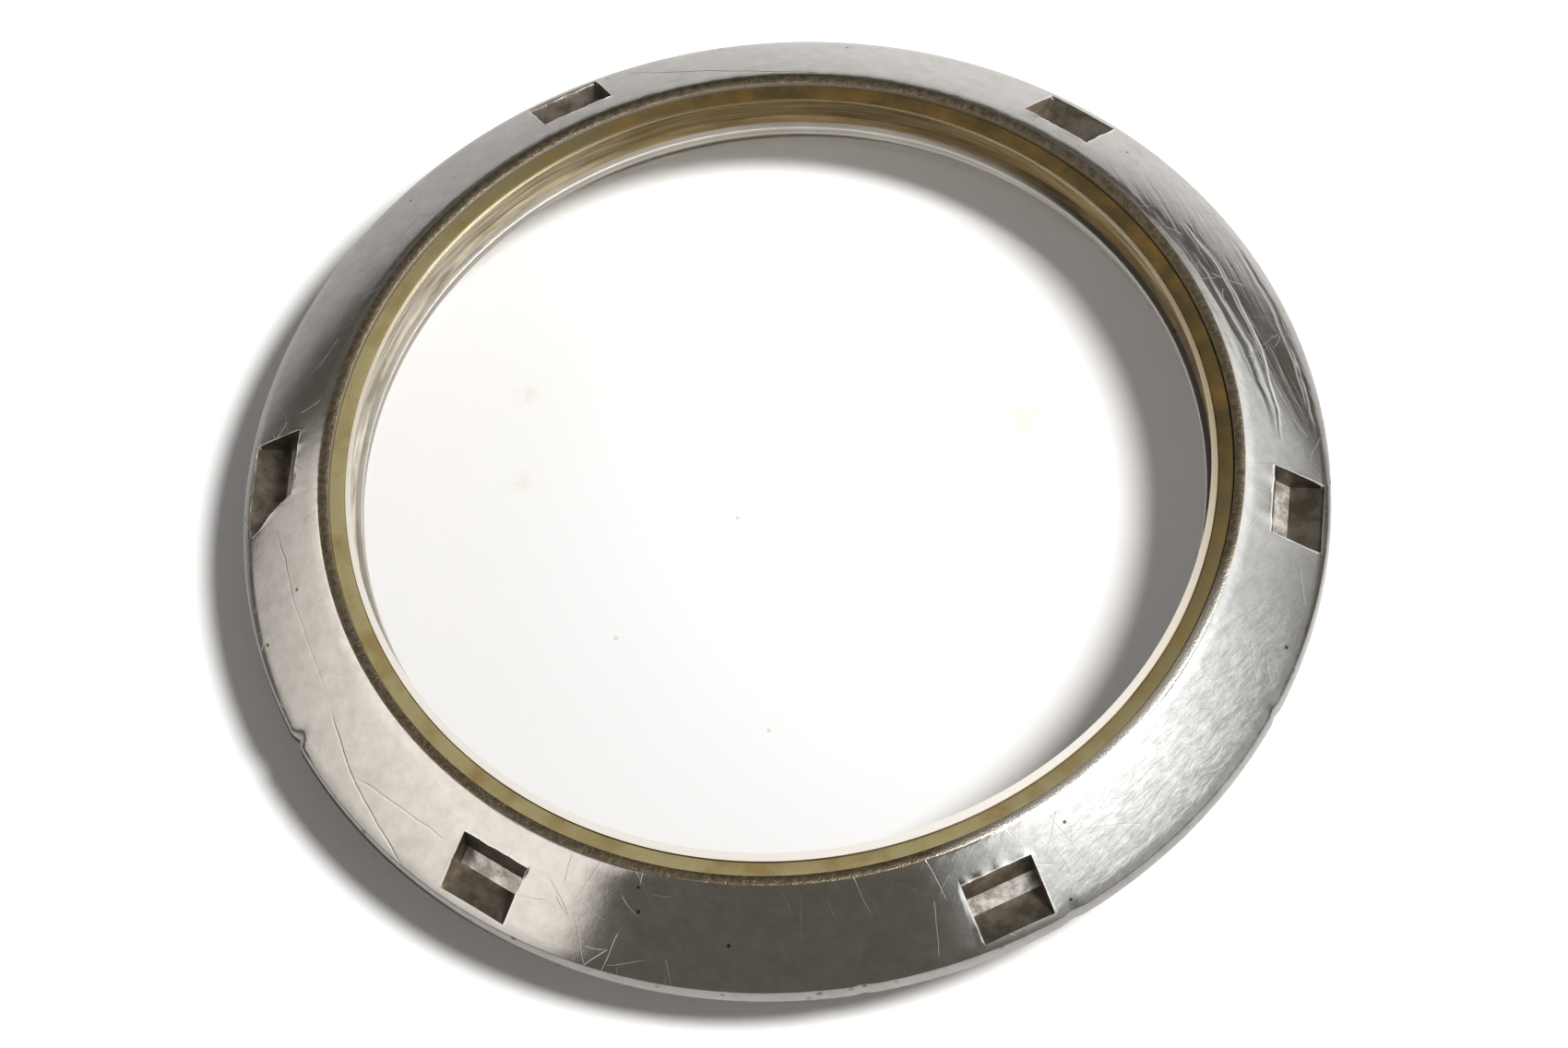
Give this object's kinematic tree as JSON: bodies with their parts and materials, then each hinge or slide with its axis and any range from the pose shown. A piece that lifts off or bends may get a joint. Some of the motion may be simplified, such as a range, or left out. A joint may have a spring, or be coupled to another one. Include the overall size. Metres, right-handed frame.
{
  "type": "glazed screw-in ring",
  "caption": "Flat round crystal in a bevelled steel screw-in ring with rectangular spanner notches, a plastic crystal gasket and a rubber sealing ring.",
  "frame": {"origin": "centre of the threaded neck's lower face, which the ring rests on", "axes": "+Z along the ring's axis, out of the crystal; +X through the middle of a spanner notch"},
  "size_m": [0.036, 0.036, 0.0055],
  "materials": {
    "polished_steel": "polished stainless steel, worn and finely scratched",
    "mineral_glass": "clear, polished faces and bevelled edges",
    "aged_nylon": "translucent nylon, yellowed with age",
    "seal_rubber": "smooth black rubber"
  },
  "bodies": {
    "root": {"case_back_ring": "polished_steel", "crystal": "mineral_glass", "crystal_gasket": "aged_nylon", "case_seal_ring": "seal_rubber"}
  },
  "joints": []
}
